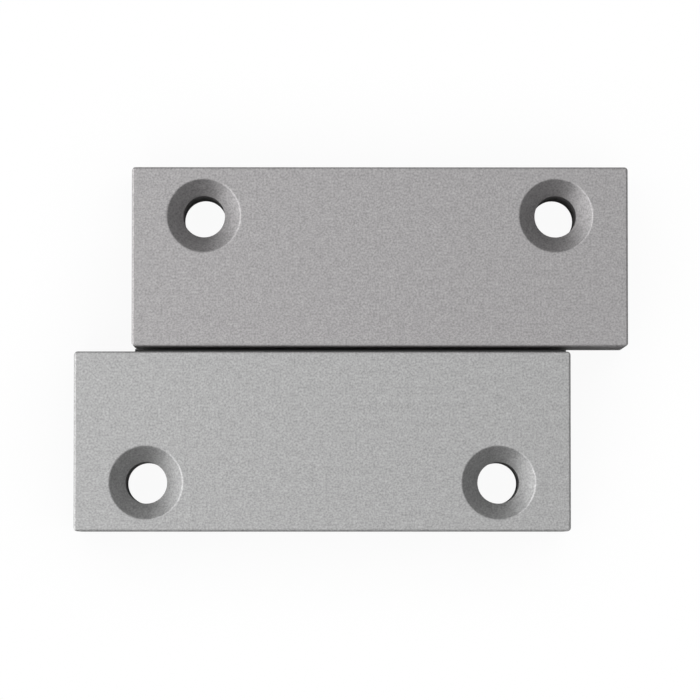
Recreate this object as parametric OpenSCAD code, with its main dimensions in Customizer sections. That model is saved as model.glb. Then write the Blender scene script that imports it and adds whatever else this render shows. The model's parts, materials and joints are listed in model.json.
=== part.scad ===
// Magnetic contact sensor: a reed switch half and a magnet half, each potted into the
// back of a countersunk aluminium block. X runs along the blocks, Y across the gap
// between them, and Z out of the surface that they are screwed to. The origin is on
// that surface, midway between the halves. Millimetres.

/* [Blocks] */
// Length of each block
block_l = 50; // [48:1:80]
// Width of each block, from its mating face to its outer edge
block_w = 18.1; // [17:0.1:28]
// Thickness of each block, from the mounting face to the front face
block_h = 9; // [8:0.1:14]
// Radius of the four upright corners
corner_r = 0.4; // [0.3:0.05:2]
// Rounding of the edge round the front face
edge_r = 0.22; // [0.1:0.01:0.4]

/* [Placing of the halves] */
// Air gap between the two mating faces
mating_gap = 0.5; // [0.3:0.05:8]
// Sideways offset of the magnet half from the switch half
stagger = 5.8; // [0:0.1:20]

/* [Screw holes] */
// Diameter of the through hole
hole_d = 4.2; // [3.2:0.1:5]
// Diameter of the countersink at the front face
sink_d = 7.4; // [6:0.1:9]
// Full angle of the countersink
sink_angle = 90; // [80:1:100]
// Rounding of the countersink's rim
rim_r = 0.3; // [0.1:0.05:0.5]
// Distance from the hole's centre to the block's outer edge
hole_edge = 4.9; // [4.8:0.1:6]
// Distance from the hole's centre to the end of the block
hole_end = 7.25; // [5.5:0.05:12]

/* [Rear pockets] */
// Wall between the pocket and the mating face
mating_wall = 1.3; // [0.8:0.1:2]
// Wall between the pocket and the screw holes
hole_wall = 1.4; // [0.6:0.1:2]
// Wall between the pocket and each end of the block
end_wall = 4; // [3:0.1:5]
// Metal left between the pocket and the front face
front_skin = 1.6; // [1:0.1:2.4]
// Corner radius that the milling cutter leaves
cutter_r = 2; // [1.2:0.1:3]
// Depth of the resin's face below the mounting face
resin_recess = 0.3; // [0.1:0.05:0.8]
// Depth of resin over the rim of the tray
rim_cover = 0.6; // [0.3:0.05:1]

/* [Trays] */
// Wall and floor of the two moulded trays
tray_wall = 0.5; // [0.3:0.05:0.8]
// Clearance between a tray and the sides of its pocket
tray_fit = 0.1; // [0.05:0.01:0.2]

/* [Circuit board] */
// Thickness of the board
board_t = 0.8; // [0.6:0.1:1.2]
// Clearance between the board's long edges and the tray
board_fit = 0.2; // [0.1:0.05:0.4]
// Clearance between the board's ends and the tray
board_end_fit = 0.4; // [0.2:0.05:0.6]
// Width of the posts that the board rests on
post_w = 0.6; // [0.5:0.05:1]
// Length of the posts that the board rests on
post_l = 2; // [1:0.1:3]
// Distance from the tray's end to the middle of the nearest post
post_inset = 8; // [7:0.5:10]
// Length of lead left standing in front of the board
tail_l = 0.6; // [0.5:0.05:1]

/* [Eyelets] */
// Inner diameter of the eyelets that take the cable's cores
eyelet_bore = 0.9; // [0.7:0.05:1]
// Wall of an eyelet
eyelet_wall = 0.1; // [0.08:0.01:0.15]
// Width of an eyelet's rim outside its barrel
eyelet_rim = 0.18; // [0.1:0.01:0.25]
// Distance between the eyelets, along the board and across it
eyelet_pitch = 1.7; // [1.55:0.05:2]

/* [Reed switch] */
// Outer diameter of the glass
glass_d = 2; // [1.8:0.1:2.4]
// Length of the glass
glass_l = 14; // [12:0.5:15]
// Thickness of the glass wall
glass_wall = 0.3; // [0.2:0.05:0.35]
// Length of the solid glass seal at each end
seal_l = 1.8; // [1:0.1:2.5]
// Rounding of the ends of the glass
shoulder_r = 0.5; // [0.3:0.05:0.6]
// Diameter of the lead wires
lead_d = 0.5; // [0.4:0.05:0.6]
// Radius of the bend in each lead, at its middle line
bend_r = 0.6; // [0.5:0.05:0.8]
// Straight lead between the glass and the bend
lead_stub = 1; // [0.6:0.1:1.4]
// Thickness of the flattened blades
blade_t = 0.2; // [0.15:0.01:0.25]
// Width of the flattened blades
blade_w = 1; // [0.8:0.05:1.1]
// Length over which the round lead is pressed flat
swage_l = 1.2; // [0.8:0.1:1.6]
// Length of round wire that stands out of the seal before it is pressed flat
neck_l = 0.3; // [0.2:0.05:0.5]
// Overlap of the two blades
blade_overlap = 1.4; // [0.8:0.1:2]
// Open gap between the two contact faces
contact_gap = 0.1; // [0.06:0.01:0.15]
// Wall of the soft sleeve round the glass
sleeve_wall = 0.4; // [0.3:0.05:0.5]
// Bare glass at each end of the sleeve
sleeve_inset = 0.9; // [0.6:0.1:1.4]
// Clearance between the sleeve and the board
sleeve_gap = 0.2; // [0.1:0.05:0.5]
// Resin between the sleeve and the back
reed_cover = 0.6; // [0.4:0.05:1]
// Radius of the solder joints at the front of the board
joint_r = 0.7; // [0.6:0.05:0.8]
// Clearance between a lead and its hole in the board
lead_fit = 0.15; // [0.1:0.01:0.2]

/* [Cable inlet] */
// Rubber between the cable hole and the outside of the bush
bush_wall = 0.9; // [0.7:0.05:1.2]
// Width of the collar that anchors the bush in the resin
collar_w = 0.4; // [0.2:0.05:0.5]
// Thickness of the collar
collar_t = 0.8; // [0.5:0.05:1.2]
// Resin between the collar and the tray's walls
collar_fit = 0.6; // [0.4:0.05:0.8]
// Space for the cable's cores between the bush and the board
core_space = 0.6; // [0.3:0.05:1]

/* [Magnet] */
// Resin between the magnet rod and the tray's side walls
magnet_side = 1.1; // [0.8:0.05:1.6]
// Length of the magnet rod
magnet_l = 30; // [22:1:33]
// Chamfer at the ends of the rod
magnet_chamfer = 0.3; // [0.1:0.05:0.6]
// Clearance between the rod and its saddles
saddle_fit = 0.05; // [0.03:0.01:0.1]
// Thickness of a saddle along the rod
saddle_t = 1.4; // [0.8:0.1:2]
// Plastic between the rod and the tray's floor
saddle_floor = 0.4; // [0.2:0.05:0.6]
// Distance from the end of the rod to the middle of the nearest saddle
saddle_inset = 3; // [2:0.5:5]
// Clearance between the rod and the stops at its ends
magnet_end_fit = 0.2; // [0.1:0.05:0.4]
// Thickness of the stops
stop_t = 0.8; // [0.5:0.05:1]

/* [Hidden] */

$fn = 72;
past = 1;       // how far a cutting shape runs past the face that it opens
arc_steps = 6;  // straight steps in a small rounding of a turned shape
saddles = 4;    // saddles under the magnet

// Screw holes, from the middle of the block and from its mating face
hole_x = block_l / 2 - hole_end;
hole_y = block_w - hole_edge;
sink_depth = (sink_d - hole_d) / 2 / tan(sink_angle / 2);

// Pocket, from the mating face
pocket_l = block_l - 2 * end_wall;
pocket_w = hole_y - hole_d / 2 - hole_wall - mating_wall;
pocket_y = mating_wall + pocket_w / 2;
pocket_d = block_h - front_skin;

// Tray, outside and inside
tray_l = pocket_l - 2 * tray_fit;
tray_w = pocket_w - 2 * tray_fit;
tray_r = cutter_r - tray_fit;
tray_rim = resin_recess + rim_cover;
inside_l = tray_l - 2 * tray_wall;
inside_w = tray_w - 2 * tray_wall;
inside_r = tray_r - tray_wall;
inside_top = pocket_d - tray_wall;
root = tray_wall / 2;

// Reed, lying along the middle of the tray with its leads bent forwards to the board
lead_r = lead_d / 2;
glass_r = glass_d / 2;
sleeve_r = glass_r + sleeve_wall;
reed_z = resin_recess + reed_cover + sleeve_r;
lead_x = glass_l / 2 + lead_stub + bend_r;
bend_x = lead_x - bend_r;
cavity_x = glass_l / 2 - seal_l;
neck_x = cavity_x - neck_l;
blade_z = (contact_gap + blade_t) / 2;
lead_hole_r = lead_r + lead_fit;
solder_wet = 0.08;
solder_h = 0.45;
solder_back_h = 0.25;

// Board, in front of the reed
board_z = reed_z + sleeve_r + sleeve_gap;
board_top = board_z + board_t;
board_l = inside_l - 2 * board_end_fit;
board_w = inside_w - 2 * board_fit;
board_r = inside_r - board_fit;

// Cable bush, at one end of the tray behind the eyelets
collar_r = inside_w / 2 - collar_fit;
bush_r = collar_r - collar_w;
inlet_r = bush_r - bush_wall;
bush_x = inside_l / 2 - collar_fit - collar_r;
bush_top = board_z - core_space;
eyelet_r = eyelet_bore / 2 + eyelet_wall;

// Magnet, resting on its saddles
magnet_r = inside_w / 2 - magnet_side;
magnet_z = inside_top - saddle_floor - magnet_r;
saddle_pitch = (magnet_l - 2 * saddle_inset) / (saddles - 1);

// Points of an arc about a centre, from one angle to another
function arc(centre, r, from, to) =
    [for (i = [0:arc_steps]) let(a = from + (to - from) * i / arc_steps)
        centre + r * [cos(a), sin(a)]];

// Turns a profile of radius and height about the X axis, its height along X
module turned_along_x() {
    rotate([0, 90, 0]) rotate_extrude() children();
}

module rounded_rectangle(l, w, r) {
    translate([-l / 2 + r, -w / 2]) square([l - 2 * r, w]);
    translate([-l / 2, -w / 2 + r]) square([l, w - 2 * r]);
    for (x = [-1, 1], y = [-1, 1])
        translate([x * (l / 2 - r), y * (w / 2 - r)]) circle(r);
}

// The section of a block that is square at its foot and rounded at both top corners
module crowned_section(w) {
    translate([-w / 2, -past]) square([w, block_h - edge_r + past]);
    translate([-w / 2 + edge_r, -past]) square([w - 2 * edge_r, block_h + past]);
    for (side = [-1, 1]) translate([side * (w / 2 - edge_r), block_h - edge_r]) circle(edge_r);
}

// A block with rounded upright corners and a softened edge round its front face
module block() {
    translate([0, block_w / 2, 0]) intersection() {
        linear_extrude(block_h) rounded_rectangle(block_l, block_w, corner_r);
        rotate([90, 0, 0]) linear_extrude(block_w + 2 * past, center = true)
            crowned_section(block_l);
        rotate([90, 0, 90]) linear_extrude(block_l + 2 * past, center = true)
            crowned_section(block_w);
    }
}

// The space of a countersunk screw hole, its rim rounded into the front face
module screw_hole() {
    half = sink_angle / 2;
    rim_run = rim_r * tan((90 - half) / 2);
    rim_x = sink_d / 2 + rim_run;
    rim = arc([rim_x, block_h - rim_r], rim_r, 180 - half, 90);
    rotate_extrude() polygon(concat(
        [[0, -past], [hole_d / 2, -past], [hole_d / 2, block_h - sink_depth]],
        rim,
        [[rim_x, block_h + past], [0, block_h + past]]));
}

// The milled pocket in the back of a block, about the middle of the pocket
module pocket(from, to) {
    translate([0, 0, from]) linear_extrude(to - from)
        rounded_rectangle(pocket_l, pocket_w, cutter_r);
}

// A milled block, with its mating face on the XZ plane
module housing() {
    difference() {
        block();
        for (x = [-hole_x, hole_x]) translate([x, hole_y, 0]) screw_hole();
        translate([0, pocket_y, 0]) pocket(-past, pocket_d);
    }
}

module tray_inside(from, to) {
    translate([0, 0, from]) linear_extrude(to - from)
        rounded_rectangle(inside_l, inside_w, inside_r);
}

// A moulded liner for the pocket, its floor against the metal and open at the back
module tray_shell() {
    difference() {
        translate([0, 0, tray_rim]) linear_extrude(pocket_d - tray_rim)
            rounded_rectangle(tray_l, tray_w, tray_r);
        tray_inside(tray_rim - past, inside_top);
    }
}

// The posts that the board rests on, rooted in the tray's side walls and its floor
module board_posts() {
    width = post_w + root;
    height = inside_top + root - board_top;
    for (i = [-1:1], side = [-1, 1])
        translate([i * (inside_l / 2 - post_inset), side * (inside_w / 2 + root - width / 2),
                   board_top + height / 2])
            cube([post_l, width, height], center = true);
}

// The resin of a half before its pieces are taken out: it seals the pocket's mouth
// and fills the tray behind it
module potting() {
    pocket(resin_recess, tray_rim);
    tray_inside(resin_recess, inside_top);
}

module board_plate() {
    translate([0, 0, board_z]) linear_extrude(board_t) rounded_rectangle(board_l, board_w, board_r);
}

// Places its child at each core of the cable, in a square over the bush
module at_cores() {
    for (x = [-1, 1], y = [-1, 1])
        translate([bush_x + x * eyelet_pitch / 2, y * eyelet_pitch / 2, 0]) children();
}

module eyelet_outline() {
    for (z = [board_z - eyelet_wall, board_top]) translate([0, 0, z])
        cylinder(h = eyelet_wall, r = eyelet_r + eyelet_rim);
    translate([0, 0, board_z]) cylinder(h = board_t, r = eyelet_r);
}

module glass_outline() {
    end = glass_l / 2;
    corner = [glass_r - shoulder_r, end - shoulder_r];
    translate([0, 0, reed_z]) turned_along_x() polygon(concat(
        [[0, -end]],
        arc([corner.x, -corner.y], shoulder_r, -90, 0),
        arc(corner, shoulder_r, 0, 90),
        [[0, end]]));
}

module sleeve_outline() {
    length = glass_l - 2 * sleeve_inset;
    translate([-length / 2, 0, reed_z]) rotate([0, 90, 0]) cylinder(h = length, r = sleeve_r);
}

// A lead wire on the -X side: along the reed, round its bend and forwards through the board
module lead() {
    translate([-bend_x, 0, reed_z]) rotate([0, 90, 0]) cylinder(h = bend_x - neck_x, r = lead_r);
    translate([-bend_x, 0, reed_z + bend_r]) rotate([90, 0, 0]) rotate([0, 0, 180])
        rotate_extrude(angle = 90) translate([bend_r, 0]) circle(lead_r);
    translate([-lead_x, 0, reed_z + bend_r])
        cylinder(h = board_top + tail_l - reed_z - bend_r, r = lead_r);
}

// The flattened end of a lead on the -X side, in front of (1) or behind (-1) the reed's
// axis. It starts inside the round wire.
module flat_blade(level) {
    start_x = -neck_x - neck_l / 2;
    flat_x = -neck_x + swage_l;
    tip_x = blade_overlap / 2;
    core = lead_r / 2;
    middle = level * blade_z;
    translate([0, 0, reed_z]) intersection() {
        linear_extrude(glass_d, center = true) polygon([
            [start_x, -core], [flat_x, -blade_w / 2], [tip_x, -blade_w / 2],
            [tip_x, blade_w / 2], [flat_x, blade_w / 2], [start_x, core]]);
        rotate([90, 0, 0]) linear_extrude(glass_d, center = true) polygon([
            [start_x, -core], [flat_x, middle - blade_t / 2], [tip_x, middle - blade_t / 2],
            [tip_x, middle + blade_t / 2], [flat_x, middle + blade_t / 2], [start_x, core]]);
    }
}

module reed_blade(level) {
    lead();
    flat_blade(level);
}

// A solder joint round the end of a lead, on both faces of the board
module solder_joint() {
    rotate_extrude() polygon([
        [lead_r, board_top + solder_h], [lead_r + solder_wet, board_top + solder_h],
        [joint_r, board_top], [lead_hole_r, board_top],
        [lead_hole_r, board_z], [lead_hole_r + solder_wet, board_z],
        [lead_r + solder_wet, board_z - solder_back_h], [lead_r, board_z - solder_back_h]]);
}

module bush_outline() {
    translate([bush_x, 0, resin_recess]) cylinder(h = bush_top - resin_recess, r = bush_r);
    translate([bush_x, 0, bush_top - collar_t]) cylinder(h = collar_t, r = collar_r);
}

// The path of the cable, from behind the block
module cable_path(to) {
    translate([bush_x, 0, -past]) cylinder(h = to + past, r = inlet_r);
}

module magnet_outline(r, chamfer, length) {
    end = length / 2;
    translate([0, 0, magnet_z]) turned_along_x() polygon([
        [0, -end], [r - chamfer, -end], [r, -end + chamfer],
        [r, end - chamfer], [r - chamfer, end], [0, end]]);
}

// A rib across the tray, from the level of the magnet's axis to the tray's floor
module rib(x, thickness) {
    translate([x - thickness / 2, -inside_w / 2 - root, magnet_z])
        cube([thickness, inside_w + 2 * root, inside_top + root - magnet_z]);
}

// The saddles' ribs before the rod's seat is cut out, and a stop at each end of the rod
module magnet_ribs() {
    for (i = [0:saddles - 1]) rib(i * saddle_pitch + saddle_inset - magnet_l / 2, saddle_t);
    for (side = [-1, 1]) rib(side * (magnet_l + 2 * magnet_end_fit + stop_t) / 2, stop_t);
}

// Places what lies about the middle of the pocket into the switch half
module in_switch_half() {
    translate([-stagger / 2, -mating_gap / 2, 0]) mirror([0, 1, 0]) children();
}

module in_magnet_half() {
    translate([stagger / 2, mating_gap / 2, 0]) children();
}

module in_switch_pocket() {
    in_switch_half() translate([0, pocket_y, 0]) children();
}

module in_magnet_pocket() {
    in_magnet_half() translate([0, pocket_y, 0]) children();
}

module switch_housing() {
    color([0.66, 0.66, 0.66]) in_switch_half() housing();
}

module switch_tray() {
    color([0.85, 0.83, 0.76]) in_switch_pocket() {
        tray_shell();
        board_posts();
    }
}

module circuit_board() {
    color([0.1, 0.36, 0.2]) in_switch_pocket() difference() {
        board_plate();
        at_cores() translate([0, 0, board_z - past]) cylinder(h = board_t + 2 * past, r = eyelet_r);
        for (x = [-lead_x, lead_x]) translate([x, 0, board_z - past])
            cylinder(h = board_t + 2 * past, r = lead_hole_r);
    }
}

module core_eyelets() {
    color([0.85, 0.7, 0.4]) in_switch_pocket() difference() {
        at_cores() eyelet_outline();
        at_cores() translate([0, 0, board_z - past])
            cylinder(h = board_t + 2 * past, r = eyelet_bore / 2);
    }
}

module reed_glass() {
    color([0.5, 0.72, 0.6]) in_switch_pocket() difference() {
        glass_outline();
        translate([-cavity_x, 0, reed_z]) rotate([0, 90, 0])
            cylinder(h = 2 * cavity_x, r = glass_r - glass_wall);
        translate([-glass_l, 0, reed_z]) rotate([0, 90, 0]) cylinder(h = 2 * glass_l, r = lead_r);
    }
}

module reed_blade_left() {
    color([0.78, 0.77, 0.72]) in_switch_pocket() reed_blade(1);
}

module reed_blade_right() {
    color([0.78, 0.77, 0.72]) in_switch_pocket() mirror([1, 0, 0]) reed_blade(-1);
}

module reed_sleeve() {
    color([0.9, 0.9, 0.88]) in_switch_pocket() difference() {
        sleeve_outline();
        translate([-glass_l, 0, reed_z]) rotate([0, 90, 0]) cylinder(h = 2 * glass_l, r = glass_r);
    }
}

module reed_solder_joints() {
    color([0.72, 0.73, 0.75]) in_switch_pocket()
        for (x = [-lead_x, lead_x]) translate([x, 0, 0]) solder_joint();
}

module cable_bush() {
    color([0.1, 0.1, 0.1]) in_switch_pocket() difference() {
        bush_outline();
        cable_path(bush_top + past);
    }
}

module switch_resin() {
    color([0.07, 0.07, 0.075]) in_switch_pocket() difference() {
        potting();
        board_posts();
        board_plate();
        at_cores() eyelet_outline();
        for (x = [-lead_x, lead_x]) translate([x, 0, 0]) solder_joint();
        glass_outline();
        sleeve_outline();
        lead();
        mirror([1, 0, 0]) lead();
        bush_outline();
        cable_path(board_z);
    }
}

module magnet_housing() {
    color([0.66, 0.66, 0.66]) in_magnet_half() housing();
}

module magnet_tray() {
    color([0.85, 0.83, 0.76]) in_magnet_pocket() difference() {
        union() {
            tray_shell();
            magnet_ribs();
        }
        magnet_outline(magnet_r + saddle_fit, 0, magnet_l + 2 * magnet_end_fit);
    }
}

module magnet_rod() {
    color([0.35, 0.35, 0.37]) in_magnet_pocket() magnet_outline(magnet_r, magnet_chamfer, magnet_l);
}

module magnet_resin() {
    color([0.07, 0.07, 0.075]) in_magnet_pocket() difference() {
        potting();
        magnet_ribs();
        magnet_outline(magnet_r, magnet_chamfer, magnet_l);
    }
}

switch_housing();
switch_tray();
circuit_board();
core_eyelets();
reed_glass();
reed_blade_left();
reed_blade_right();
reed_sleeve();
reed_solder_joints();
cable_bush();
switch_resin();
magnet_housing();
magnet_tray();
magnet_rod();
magnet_resin();
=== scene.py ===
import json
import math
import bpy
from mathutils import Matrix, Vector


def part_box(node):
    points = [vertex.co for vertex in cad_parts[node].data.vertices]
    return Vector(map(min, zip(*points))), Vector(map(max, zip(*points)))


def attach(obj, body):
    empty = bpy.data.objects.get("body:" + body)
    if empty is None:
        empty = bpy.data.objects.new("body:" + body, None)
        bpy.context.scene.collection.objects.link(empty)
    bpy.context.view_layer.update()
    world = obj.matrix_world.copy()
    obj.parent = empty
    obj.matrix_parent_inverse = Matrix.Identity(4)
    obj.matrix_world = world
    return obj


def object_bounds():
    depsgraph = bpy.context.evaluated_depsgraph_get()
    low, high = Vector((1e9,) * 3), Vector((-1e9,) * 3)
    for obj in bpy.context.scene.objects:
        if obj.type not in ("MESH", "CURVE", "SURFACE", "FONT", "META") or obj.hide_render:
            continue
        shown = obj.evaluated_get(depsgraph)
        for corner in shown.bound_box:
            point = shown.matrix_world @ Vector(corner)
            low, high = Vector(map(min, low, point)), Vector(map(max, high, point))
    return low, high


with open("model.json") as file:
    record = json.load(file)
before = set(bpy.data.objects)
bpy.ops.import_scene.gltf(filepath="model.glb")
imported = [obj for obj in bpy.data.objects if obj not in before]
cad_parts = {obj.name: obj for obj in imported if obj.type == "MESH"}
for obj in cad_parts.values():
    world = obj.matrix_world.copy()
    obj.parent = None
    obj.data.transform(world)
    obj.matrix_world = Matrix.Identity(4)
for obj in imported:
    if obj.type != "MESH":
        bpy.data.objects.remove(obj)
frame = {"nodes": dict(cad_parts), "record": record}
cad_low, cad_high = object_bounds()

MM = 0.001                         # a millimetre, in metres

# The photograph: a square picture taken from almost straight above the front faces
PHOTO_SIDE_PX = 700
PHOTO_SCALE = 9.945 / MM           # pixels for each metre at the front faces
PHOTO_CENTRE_PX = (351.2, 348.9)   # where the middle of the pair lies
PHOTO_NADIR_PX = (317, 550)        # the point that the upright walls point down to
CAMERA_HEIGHT = 470 * MM           # above the front faces
SENSOR_WIDTH = 36                  # millimetres, as Blender counts it

# Finish of the two blocks
SWITCH_BLOCK_COLOUR = (0.4, 0.4, 0.4)
# The magnet block's colour has its own faint pink tint. It is also darker than the switch block's as
# painted shade, standing in for the lesser light on it.
MAGNET_BLOCK_TINT_AND_SHADE = (0.365, 0.3565, 0.3595)
GRAIN_SIZE = 0.2 * MM        # the light and dark grains of the anodised skin
GRAIN_BAND = (0.25, 0.75)    # the stretch of the noise that they use
GRAIN_CONTRAST = 0.215       # how far they stray from the block's colour
MOTTLE_SIZE = 0.9 * MM       # the soft clouds under the grains
MOTTLE_CONTRAST = 0.065      # how far the clouds stray from it
PIT_SIZE = 0.11 * MM         # the pits that the blasting beads leave
PIT_DEPTH = 0.01 * MM
BLASTED_ROUGHNESS = 0.55

# Finish of the resin
EPOXY_COLOUR = (0.016, 0.016, 0.018)
EPOXY_ROUGHNESS = 0.21
WAVE_SIZE = 4 * MM           # the long waves that it sets in
WAVE_DEPTH = 0.25 * MM
DUST_SIZE = 0.3 * MM         # the dull specks on it
BUBBLE_SPACING = 1.6 * MM    # between the places where a bubble can burst
BUBBLE_SHARE = 0.18          # share of those places that have one
BUBBLE_FLOOR = 0.1           # radius of its flat floor, as a share of the spacing
BUBBLE_RIM = 0.15            # radius of its rim, likewise
BUBBLE_DEPTH = 0.06 * MM

# Every finish
NOISE_BAND = (0.3, 0.7)      # the values that a noise mostly takes
GLOSS_SWING = 0.05           # how far the roughness strays from its middle

# The resin's meniscus, in the pockets behind the blocks
POCKET_CORNER = 2 * MM       # corner radius that the milling cutter leaves
MENISCUS_RISE = 0.2 * MM     # how far the resin climbs the pocket's wall
MENISCUS_RUN = 0.45 * MM     # how wide it is where it meets the level resin
MENISCUS_SINK = 0.03 * MM    # how deep its foot lies in the level resin
CORNER_STEPS = 10            # straight steps round a corner of the pocket
ARC_STEPS = 8                # straight steps in the hollow of the meniscus

# The table and the cards that lie on it
TABLE_SIZE = 8.0             # far larger than the view
TABLE_TONE = 0.8             # its tone for the light that it throws back
TABLE_DROP = 0.04 * MM       # how far it lies below the mounting faces
SHADOW_REACH = 12 * MM       # how far the contact shadow spreads from the blocks
SHADOW_TONE = 0.95           # how light the table stays in it
SHADOW_BAND = (0.4, 0.95)    # how open to the sky the table is where the shadow is full, and ends
SHADOW_SAMPLES = 8
CARD_DROP = 0.02 * MM        # how far the dark cards lie below the mounting faces
CARD_MARGIN = 9 * MM         # how far the card round the blocks reaches
STRIP_LAP = 0.1 * MM         # how far the strip under the slit reaches beneath each block
DISC_SIDES = 48              # sides of the round card under each bore
WALL_CARD_TONE = 0.34        # the card round the blocks, as the foot of each wall mirrors it
BORE_CARD_TONE = 0.05        # the card under each bore, as the bore's wall mirrors it
SLIT_SHADE_TONE = 0.034            # painted shade: the glow of the strip under the slit, at the tone of the shade there

# The grey cards that stand round the table
CARD_FOOT = 0.5              # from the middle of the table to a card's lower edge
CARD_HEAD = 0.35             # and to its upper edge, which leans in
CARD_TOP = 0.5               # height of its upper edge
FAR_CARD_END = -0.22         # where the far card ends on the left
NEAR_CARD_END = -0.36        # where the near card ends on the left
RIGHT_CARD_TONE = 0.3
FAR_CARD_TONE = 0.38
NEAR_CARD_TONE = 0.25

SURROUND_TONE = 0.5          # the world's light on everything that isn't mirrored


def aim(obj, target):
    """Turns a camera or a lamp to look at a point, with the picture's top towards +Y."""
    back = (obj.location - Vector(target)).normalized()
    right = Vector((0, 1, 0)).cross(back).normalized()
    up = back.cross(right)
    obj.rotation_euler = Matrix((right, up, back)).transposed().to_euler()


def make_camera():
    """A camera above the photograph's nadir, turned to put the pair where the photograph has it."""
    front = cad_high.z
    middle = (cad_low + cad_high) / 2
    step_x = (PHOTO_NADIR_PX[0] - PHOTO_CENTRE_PX[0]) / PHOTO_SCALE
    step_y = (PHOTO_CENTRE_PX[1] - PHOTO_NADIR_PX[1]) / PHOTO_SCALE
    aim_x = middle.x + (PHOTO_SIDE_PX / 2 - PHOTO_CENTRE_PX[0]) / PHOTO_SCALE
    aim_y = middle.y + (PHOTO_CENTRE_PX[1] - PHOTO_SIDE_PX / 2) / PHOTO_SCALE
    data = bpy.data.cameras.new("photo_camera")
    data.sensor_width = SENSOR_WIDTH
    data.lens = SENSOR_WIDTH * PHOTO_SCALE * CAMERA_HEIGHT / PHOTO_SIDE_PX
    camera = bpy.data.objects.new("photo_camera", data)
    camera.location = (middle.x + step_x, middle.y + step_y, front + CAMERA_HEIGHT)
    aim(camera, (aim_x, aim_y, front))
    bpy.context.scene.collection.objects.link(camera)
    bpy.context.scene.camera = camera


class Nodes:
    """Adds nodes to a tree and links them."""

    def __init__(self, tree):
        self.tree = tree

    def add(self, kind, **settings):
        node = self.tree.nodes.new(kind)
        for name, value in settings.items():
            setattr(node, name, value)
        return node

    def link(self, source, target):
        self.tree.links.new(source, target)

    def feed(self, socket, value):
        """Sets a socket to a plain value, or links it to another node's output."""
        if isinstance(value, bpy.types.NodeSocket):
            self.link(value, socket)
        else:
            socket.default_value = value

    def math(self, operation, a, b=0.0):
        node = self.add("ShaderNodeMath", operation=operation)
        self.feed(node.inputs[0], a)
        self.feed(node.inputs[1], b)
        return node.outputs[0]

    def after(self, before, kind, **settings):
        """Adds a node that takes its geometry from the node before it."""
        node = self.add(kind, **settings)
        self.link(before.outputs[0], node.inputs[0])
        return node

    def remap(self, value, band, low, high):
        """Stretches a band of values from low to high, and stops there."""
        node = self.add("ShaderNodeMapRange")
        self.link(value, node.inputs["Value"])
        node.inputs["From Min"].default_value = band[0]
        node.inputs["From Max"].default_value = band[1]
        node.inputs["To Min"].default_value = low
        node.inputs["To Max"].default_value = high
        return node.outputs["Result"]

    def vary(self, noise, middle, swing, band=NOISE_BAND):
        """A value that follows a noise, up to a swing on either side of its middle."""
        return self.remap(noise, band, middle - swing, middle + swing)

    def noise(self, place, size, detail=2.0, roughness=0.5):
        """A noise whose patches are about that size."""
        node = self.add("ShaderNodeTexNoise")
        self.link(place, node.inputs["Vector"])
        node.inputs["Scale"].default_value = 1 / size
        node.inputs["Detail"].default_value = detail
        node.inputs["Roughness"].default_value = roughness
        return node.outputs["Fac"]

    def tint(self, colour, factor):
        """A colour multiplied by a number."""
        node = self.add("ShaderNodeVectorMath", operation="SCALE")
        node.inputs[0].default_value = colour
        self.link(factor, node.inputs["Scale"])
        return node.outputs[0]

    def bump(self, height, depth, strength, under=None):
        """A normal that follows a height, over the normal of the relief under it."""
        node = self.add("ShaderNodeBump")
        node.inputs["Strength"].default_value = strength
        node.inputs["Distance"].default_value = depth
        self.link(height, node.inputs["Height"])
        if under is not None:
            self.link(under, node.inputs["Normal"])
        return node.outputs["Normal"]


def new_material(name):
    """A material with a Principled shader, its nodes and its object coordinates."""
    material = bpy.data.materials.new(name)
    material.use_nodes = True
    nodes = Nodes(material.node_tree)
    shader = material.node_tree.nodes["Principled BSDF"]
    place = nodes.add("ShaderNodeTexCoord").outputs["Object"]
    return material, nodes, shader, place


def blasted_aluminium(name, colour):
    """Bead-blasted and anodised aluminium: a fine salt-and-pepper grain over a soft mottle."""
    material, nodes, shader, place = new_material(name)
    grain = nodes.noise(place, GRAIN_SIZE, detail=1.0)
    pits = nodes.noise(place, PIT_SIZE, detail=1.0)
    mottle = nodes.noise(place, MOTTLE_SIZE, detail=3.0, roughness=0.65)
    speckle = nodes.vary(grain, 1.0, GRAIN_CONTRAST, GRAIN_BAND)
    cloud = nodes.vary(mottle, 1.0, MOTTLE_CONTRAST)
    shade = nodes.math("MULTIPLY", speckle, cloud)
    nodes.link(nodes.tint(colour, shade), shader.inputs["Base Color"])
    shader.inputs["Metallic"].default_value = 1.0
    nodes.link(nodes.vary(pits, BLASTED_ROUGHNESS, GLOSS_SWING), shader.inputs["Roughness"])
    nodes.link(nodes.bump(pits, PIT_DEPTH, strength=0.35), shader.inputs["Normal"])
    return material


def black_epoxy():
    """Poured black epoxy: glossy, in long shallow waves, with a few burst bubbles."""
    material, nodes, shader, place = new_material("black_epoxy")
    waves = nodes.noise(place, WAVE_SIZE, roughness=0.4)
    dust = nodes.noise(place, DUST_SIZE)
    cells = nodes.add("ShaderNodeTexVoronoi")
    nodes.link(place, cells.inputs["Vector"])
    cells.inputs["Scale"].default_value = 1 / BUBBLE_SPACING
    chosen = nodes.add("ShaderNodeSeparateColor")
    nodes.link(cells.outputs["Color"], chosen.inputs["Color"])
    hollow = nodes.remap(cells.outputs["Distance"], (BUBBLE_FLOOR, BUBBLE_RIM), -1.0, 0.0)
    burst = nodes.math("GREATER_THAN", chosen.outputs["Red"], 1 - BUBBLE_SHARE)
    bubbles = nodes.math("MULTIPLY", hollow, burst)
    shade = nodes.vary(dust, middle=1.05, swing=0.25)
    nodes.link(nodes.tint(EPOXY_COLOUR, shade), shader.inputs["Base Color"])
    nodes.link(nodes.vary(dust, EPOXY_ROUGHNESS, GLOSS_SWING), shader.inputs["Roughness"])
    level = nodes.bump(waves, WAVE_DEPTH, strength=0.6)
    relief = nodes.bump(bubbles, BUBBLE_DEPTH, strength=0.8, under=level)
    nodes.link(relief, shader.inputs["Normal"])
    return material


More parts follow.
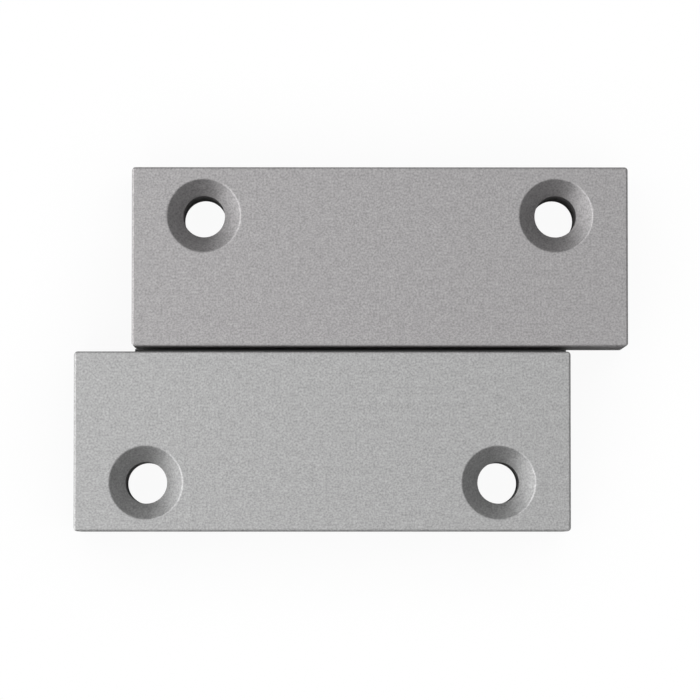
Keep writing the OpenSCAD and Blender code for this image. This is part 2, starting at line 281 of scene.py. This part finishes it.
def reed_tube_glass():
    """Clear green glass, with faint streaks from the drawing of the tube."""
    material, nodes, shader, place = new_material("reed_tube_glass")
    streaks = nodes.noise(place, size=2 * MM)
    shade = nodes.vary(streaks, middle=0.985, swing=0.015)
    nodes.link(nodes.tint((0.72, 0.86, 0.78), shade), shader.inputs["Base Color"])
    shader.inputs["Transmission Weight"].default_value = 1.0
    shader.inputs["Roughness"].default_value = 0.04
    shader.inputs["IOR"].default_value = 1.5
    return material


def even_finish(name, colour, roughness, grain_size=0.4 * MM, contrast=0.06, metallic=0.0):
    """A moulded, plated or ground finish with a slight unevenness of colour and surface."""
    material, nodes, shader, place = new_material(name)
    grain = nodes.noise(place, grain_size, detail=3.0, roughness=0.6)
    shade = nodes.vary(grain, 1.0, contrast)
    nodes.link(nodes.tint(colour, shade), shader.inputs["Base Color"])
    shader.inputs["Metallic"].default_value = metallic
    nodes.link(nodes.vary(grain, roughness, GLOSS_SWING), shader.inputs["Roughness"])
    nodes.link(nodes.bump(grain, depth=0.02 * MM, strength=0.2), shader.inputs["Normal"])
    return material


def natural_nylon():
    """Uncoloured nylon of the moulded trays."""
    return even_finish("natural_nylon", (0.68, 0.65, 0.56), roughness=0.5)


def green_laminate():
    """Glass-epoxy board under its green mask."""
    return even_finish("green_laminate", (0.05, 0.2, 0.08), roughness=0.4,
                       grain_size=0.2 * MM, contrast=0.12)


def gold_plating():
    """Thin plating on the eyelets."""
    return even_finish("gold_plating", (0.75, 0.56, 0.26), roughness=0.25, metallic=1.0)


def nickel_iron():
    """Satin wire and blades of the reed switch."""
    return even_finish("nickel_iron", (0.6, 0.59, 0.55), roughness=0.3, metallic=1.0)


def silicone_sleeve():
    """Soft, milky tube over the glass."""
    return even_finish("silicone_sleeve", (0.72, 0.72, 0.68), roughness=0.45)


def bright_solder():
    """Solder that has set with a shine."""
    return even_finish("bright_solder", (0.6, 0.61, 0.62), roughness=0.25, metallic=1.0)


def black_rubber():
    """Matt rubber of the cable bush."""
    return even_finish("black_rubber", (0.03, 0.03, 0.03), roughness=0.65,
                       grain_size=0.25 * MM, contrast=0.2)


def ground_magnet():
    """Dull magnet alloy with the marks of its grinding."""
    return even_finish("ground_magnet", (0.3, 0.3, 0.32), roughness=0.35,
                       grain_size=0.3 * MM, contrast=0.1, metallic=1.0)


def finish_pieces(resin):
    """Gives every piece of the sensor its own finish."""
    nylon = natural_nylon()
    reed_alloy = nickel_iron()
    finishes = {
        "switch_housing": blasted_aluminium("blasted_switch_block", SWITCH_BLOCK_COLOUR),
        # painted shade: the magnet block's colour is darker than the switch block's for the lesser light
        # on it, with its own faint pink tint
        "magnet_housing": blasted_aluminium("blasted_magnet_block_tint_and_shade", MAGNET_BLOCK_TINT_AND_SHADE),
        "switch_tray": nylon,
        "magnet_tray": nylon,
        "circuit_board": green_laminate(),
        "core_eyelets": gold_plating(),
        "reed_glass": reed_tube_glass(),
        "reed_blade_left": reed_alloy,
        "reed_blade_right": reed_alloy,
        "reed_sleeve": silicone_sleeve(),
        "reed_solder_joints": bright_solder(),
        "cable_bush": black_rubber(),
        "switch_resin": resin,
        "magnet_resin": resin,
        "magnet_rod": ground_magnet(),
    }
    for name, material in finishes.items():
        frame["nodes"][name].material_slots[0].material = material


def pocket_outline(nodes, sizes):
    """The pocket's outline as a curve, with its normals level."""
    outline = nodes.add("GeometryNodeCurvePrimitiveQuadrilateral", mode="RECTANGLE")
    nodes.link(sizes["Length"], outline.inputs["Width"])
    nodes.link(sizes["Width"], outline.inputs["Height"])
    rounded = nodes.after(outline, "GeometryNodeFilletCurve", mode="POLY")
    rounded.inputs["Count"].default_value = CORNER_STEPS
    nodes.link(sizes["Corner"], rounded.inputs["Radius"])
    return nodes.after(rounded, "GeometryNodeSetCurveNormal", mode="Z_UP")


def meniscus_section(nodes, sizes):
    """A closed curve: a hollow quarter arc from the wall to the level resin, and its sunk foot.

    X points out of the pocket, so the arc runs backwards along it. The foot is the last point.
    """
    foot_index = ARC_STEPS + 1
    ring = nodes.add("GeometryNodeCurvePrimitiveCircle", mode="RADIUS")
    ring.inputs["Resolution"].default_value = foot_index + 1
    index = nodes.add("GeometryNodeInputIndex").outputs[0]
    is_foot = nodes.math("GREATER_THAN", index, foot_index - 0.5)
    is_arc = nodes.math("SUBTRACT", 1.0, is_foot)
    step = nodes.math("MINIMUM", index, ARC_STEPS)
    angle = nodes.math("MULTIPLY", step, math.pi / 2 / ARC_STEPS)
    inwards = nodes.math("SUBTRACT", nodes.math("COSINE", angle), 1.0)
    upwards = nodes.math("SUBTRACT", 1.0, nodes.math("SINE", angle))
    from_wall = nodes.math("MULTIPLY", sizes["Run"], inwards)
    climb = nodes.math("MULTIPLY", sizes["Rise"], upwards)
    sink = nodes.math("MULTIPLY", sizes["Sink"], is_foot)
    point = nodes.add("ShaderNodeCombineXYZ")
    nodes.link(nodes.math("MULTIPLY", from_wall, is_arc), point.inputs["X"])
    nodes.link(nodes.math("SUBTRACT", climb, sink), point.inputs["Y"])
    section = nodes.after(ring, "GeometryNodeSetPosition")
    nodes.link(point.outputs[0], section.inputs["Position"])
    return section


def meniscus_tree():
    """Geometry Nodes: the pocket's outline, swept with the section of the resin's meniscus."""
    tree = bpy.data.node_groups.new("resin_meniscus", "GeometryNodeTree")
    tree.interface.new_socket("Geometry", in_out="OUTPUT", socket_type="NodeSocketGeometry")
    for name in ("Length", "Width", "Corner", "Rise", "Run", "Sink"):
        tree.interface.new_socket(name, in_out="INPUT", socket_type="NodeSocketFloat")
    tree.interface.new_socket("Place", in_out="INPUT", socket_type="NodeSocketVector")
    tree.interface.new_socket("Resin", in_out="INPUT", socket_type="NodeSocketMaterial")
    nodes = Nodes(tree)
    sizes = nodes.add("NodeGroupInput").outputs

    sweep = nodes.after(pocket_outline(nodes, sizes), "GeometryNodeCurveToMesh")
    nodes.link(meniscus_section(nodes, sizes).outputs[0], sweep.inputs["Profile Curve"])
    placed = nodes.after(sweep, "GeometryNodeTransform")
    nodes.link(sizes["Place"], placed.inputs["Translation"])
    real = nodes.after(placed, "GeometryNodeRealizeInstances")
    smooth = nodes.after(real, "GeometryNodeSetShadeSmooth")
    finished = nodes.after(smooth, "GeometryNodeSetMaterial")
    nodes.link(sizes["Resin"], finished.inputs["Material"])
    nodes.after(finished, "NodeGroupOutput")
    return tree


def grown(name, tree, values):
    """The plain mesh that a Geometry Nodes tree makes from these values."""
    seed = bpy.data.objects.new(name + "_seed", bpy.data.meshes.new(name + "_seed"))
    bpy.context.scene.collection.objects.link(seed)
    modifier = seed.modifiers.new(name, "NODES")
    modifier.node_group = tree
    for socket in tree.interface.items_tree:
        if socket.in_out == "INPUT":
            modifier[socket.identifier] = values[socket.name]
    evaluated = seed.evaluated_get(bpy.context.evaluated_depsgraph_get())
    mesh = bpy.data.meshes.new_from_object(evaluated)
    mesh.name = name
    bpy.data.objects.remove(seed)
    piece = bpy.data.objects.new(name, mesh)
    bpy.context.scene.collection.objects.link(piece)
    return piece


def raise_meniscus(half, tree, resin):
    """The rim that the resin of one half leaves where it wets the walls of its pocket."""
    low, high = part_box(half + "_resin")
    piece = grown(half + "_meniscus", tree, {
        "Length": high.x - low.x,
        "Width": high.y - low.y,
        "Corner": POCKET_CORNER,
        "Rise": MENISCUS_RISE,
        "Run": MENISCUS_RUN,
        "Sink": MENISCUS_SINK,
        "Place": ((low.x + high.x) / 2, (low.y + high.y) / 2, low.z),
        "Resin": resin,
    })
    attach(piece, "root")


def stage_piece(name, outlines, material):
    """A flat piece of the stage, with a face for each outline."""
    corners = []
    faces = []
    for outline in outlines:
        faces.append(tuple(range(len(corners), len(corners) + len(outline))))
        corners.extend(outline)
    mesh = bpy.data.meshes.new(name)
    mesh.from_pydata(corners, [], faces)
    mesh.update()
    mesh.materials.append(material)
    piece = bpy.data.objects.new(name, mesh)
    bpy.context.scene.collection.objects.link(piece)
    return piece


def level_quad(low, high, height):
    """The corners of a level rectangle that faces up."""
    return [(low[0], low[1], height), (high[0], low[1], height),
            (high[0], high[1], height), (low[0], high[1], height)]


def level_disc(x, y, r, height):
    """The corners of a level disc that faces up."""
    turns = [2 * math.pi * side / DISC_SIDES for side in range(DISC_SIDES)]
    return [(x + r * math.cos(turn), y + r * math.sin(turn), height) for turn in turns]


def stage_material(name):
    """A material with an empty tree and its output."""
    material = bpy.data.materials.new(name)
    material.use_nodes = True
    material.node_tree.nodes.clear()
    nodes = Nodes(material.node_tree)
    surface = nodes.add("ShaderNodeOutputMaterial").inputs["Surface"]
    return material, nodes, surface


def glow(nodes, level):
    """Light of its own, the same from every side."""
    shader = nodes.add("ShaderNodeEmission")
    shader.inputs["Color"].default_value = (1, 1, 1, 1)
    nodes.feed(shader.inputs["Strength"], level)
    return shader.outputs[0]


def matt(nodes, tone):
    """A matt grey."""
    shader = nodes.add("ShaderNodeBsdfDiffuse")
    shader.inputs["Color"].default_value = (tone, tone, tone, 1)
    return shader.outputs[0]


def mixed(nodes, factor, first, second):
    """The first shader where the factor is 0, and the second where it is 1."""
    mix = nodes.add("ShaderNodeMixShader")
    nodes.link(factor, mix.inputs["Fac"])
    nodes.link(first, mix.inputs[1])
    nodes.link(second, mix.inputs[2])
    return mix.outputs[0]


def seen_directly(nodes):
    """1 for the rays that show the background: straight, mirrored or through glass."""
    path = nodes.add("ShaderNodeLightPath")
    mirrored = nodes.math("MAXIMUM", path.outputs["Is Glossy Ray"], path.outputs["Is Transmission Ray"])
    return nodes.math("MAXIMUM", path.outputs["Is Camera Ray"], mirrored)


def clear_from_below(nodes, shader):
    """Lets a view from beneath the table see the backs of the blocks."""
    back = nodes.add("ShaderNodeNewGeometry").outputs["Backfacing"]
    clear = nodes.add("ShaderNodeBsdfTransparent").outputs[0]
    return mixed(nodes, back, shader, clear)


def white_table():
    """White where it is seen, with a soft contact shadow."""
    material, nodes, surface = stage_material("white_table")
    near = nodes.add("ShaderNodeAmbientOcclusion", samples=SHADOW_SAMPLES)
    near.inputs["Distance"].default_value = SHADOW_REACH
    contact = nodes.remap(near.outputs["AO"], SHADOW_BAND, SHADOW_TONE, 1.0)
    top = mixed(nodes, seen_directly(nodes), matt(nodes, TABLE_TONE), glow(nodes, contact))
    nodes.link(clear_from_below(nodes, top), surface)
    return material


def dark_card(name, tone):
    """A matt card that gives the walls above it less light than the white table would."""
    material, nodes, surface = stage_material(name)
    nodes.link(clear_from_below(nodes, matt(nodes, tone)), surface)
    return material


def painted_slit_shade():
    """Painted shade: a faint, nearly black glow, at the tone of the shade in the slit between the
    blocks.
    """
    material, nodes, surface = stage_material("painted_slit_shade")
    nodes.link(clear_from_below(nodes, glow(nodes, SLIT_SHADE_TONE)), surface)
    return material


def grey_card(tone):
    """An evenly grey card, for the sides that the softboxes leave dark."""
    material, nodes, surface = stage_material("grey_card")
    nodes.link(glow(nodes, tone), surface)
    return material


def make_table():
    """A white table just under the mounting faces."""
    reach = TABLE_SIZE / 2
    outline = level_quad((-reach, -reach), (reach, reach), cad_low.z - TABLE_DROP)
    stage_piece("table_top", [outline], white_table())


def lay_card(name, outlines, material):
    """A flat card close under the blocks, which casts no shadow."""
    card = stage_piece(name, outlines, material)
    card.visible_shadow = False
    return card


def lay_wall_card(height):
    """A card round both blocks that darkens the feet of their walls, and that no camera sees."""
    magnet_low, magnet_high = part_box("magnet_housing")
    switch_low, switch_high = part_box("switch_housing")
    slit = (magnet_low.y + switch_high.y) / 2
    left = cad_low.x - CARD_MARGIN
    right = cad_high.x + CARD_MARGIN
    near = cad_low.y - CARD_MARGIN
    far = cad_high.y + CARD_MARGIN
    round_blocks = [
        ((left, magnet_high.y), (right, far)),
        ((left, slit), (magnet_low.x, magnet_high.y)),
        ((magnet_high.x, slit), (right, magnet_high.y)),
        ((left, switch_low.y), (switch_low.x, slit)),
        ((switch_high.x, switch_low.y), (right, slit)),
        ((left, near), (right, switch_low.y)),
    ]
    quads = [level_quad(low, high, height) for low, high in round_blocks]
    lay_card("wall_card", quads, dark_card("wall_card", WALL_CARD_TONE)).visible_camera = False


def lay_bore_card(height):
    """A disc under each bore that darkens its wall, and that no camera sees."""
    discs = []
    for mount in frame["record"]["mounts"]:
        if "_hole_" in mount["name"]:
            x, y, _ = mount["pos_m"]
            discs.append(level_disc(x, y, mount["dims"]["r_mm"] * MM, height))
    lay_card("bore_card", discs, dark_card("bore_card", BORE_CARD_TONE)).visible_camera = False


def lay_painted_slit_shade(height):
    """A strip of painted shade that shows at the bottom of the slit between the blocks."""
    magnet_low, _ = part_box("magnet_housing")
    _, switch_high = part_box("switch_housing")
    strip_low = (magnet_low.x, switch_high.y - STRIP_LAP)
    strip_high = (switch_high.x, magnet_low.y + STRIP_LAP)
    lay_card("painted_slit_shade_strip", [level_quad(strip_low, strip_high, height)], painted_slit_shade())


def make_world():
    """A white surround for what is seen directly, and a dimmer one for the rest of the light."""
    world = bpy.data.worlds.new("studio")
    bpy.context.scene.world = world
    world.use_nodes = True
    nodes = Nodes(world.node_tree)
    background = world.node_tree.nodes["Background"]
    background.inputs["Color"].default_value = (1, 1, 1, 1)
    strength = nodes.remap(seen_directly(nodes), (0, 1), SURROUND_TONE, 1.0)
    nodes.link(strength, background.inputs["Strength"])


def make_softbox(name, place, height, width, radiance):
    """A softbox that glows evenly, aimed at the sensor; its power follows from its area."""
    data = bpy.data.lights.new(name, "AREA")
    data.shape = "RECTANGLE"
    data.size = height
    data.size_y = width
    data.energy = radiance * math.pi * height * width
    lamp = bpy.data.objects.new(name, data)
    lamp.location = place
    aim(lamp, (0, 0, 0))
    lamp.visible_camera = False
    bpy.context.scene.collection.objects.link(lamp)


def make_side_cards():
    """Grey cards on the right, far and near sides, leaning in over the table."""
    foot = CARD_FOOT
    head = CARD_HEAD
    top = CARD_TOP
    right = [(foot, -foot, 0), (foot, foot, 0), (head, foot, top), (head, -foot, top)]
    far = [(FAR_CARD_END, foot, 0), (foot, foot, 0), (foot, head, top), (FAR_CARD_END, head, top)]
    near = [(NEAR_CARD_END, -foot, 0), (foot, -foot, 0), (foot, -head, top), (NEAR_CARD_END, -head, top)]
    for name, tone, corners in (("right_card", RIGHT_CARD_TONE, right),
                                ("far_card", FAR_CARD_TONE, far),
                                ("near_card", NEAR_CARD_TONE, near)):
        stage_piece(name, [corners], grey_card(tone)).visible_camera = False


bpy.context.scene.view_settings.view_transform = "Standard"
make_camera()

resin = black_epoxy()
finish_pieces(resin)
rim_tree = meniscus_tree()
raise_meniscus("switch", rim_tree, resin)
raise_meniscus("magnet", rim_tree, resin)

make_table()
card_height = cad_low.z - CARD_DROP
lay_wall_card(card_height)
lay_bore_card(card_height)
# painted shade at the bottom of the slit between the blocks
lay_painted_slit_shade(card_height)

make_world()
make_softbox("left_softbox", place=(-0.34, -0.022, 0.225), height=0.52, width=0.75, radiance=1.6)
make_softbox("top_softbox", place=(-0.1, 0, 1.0), height=1.0, width=1.0, radiance=0.15)
make_side_cards()
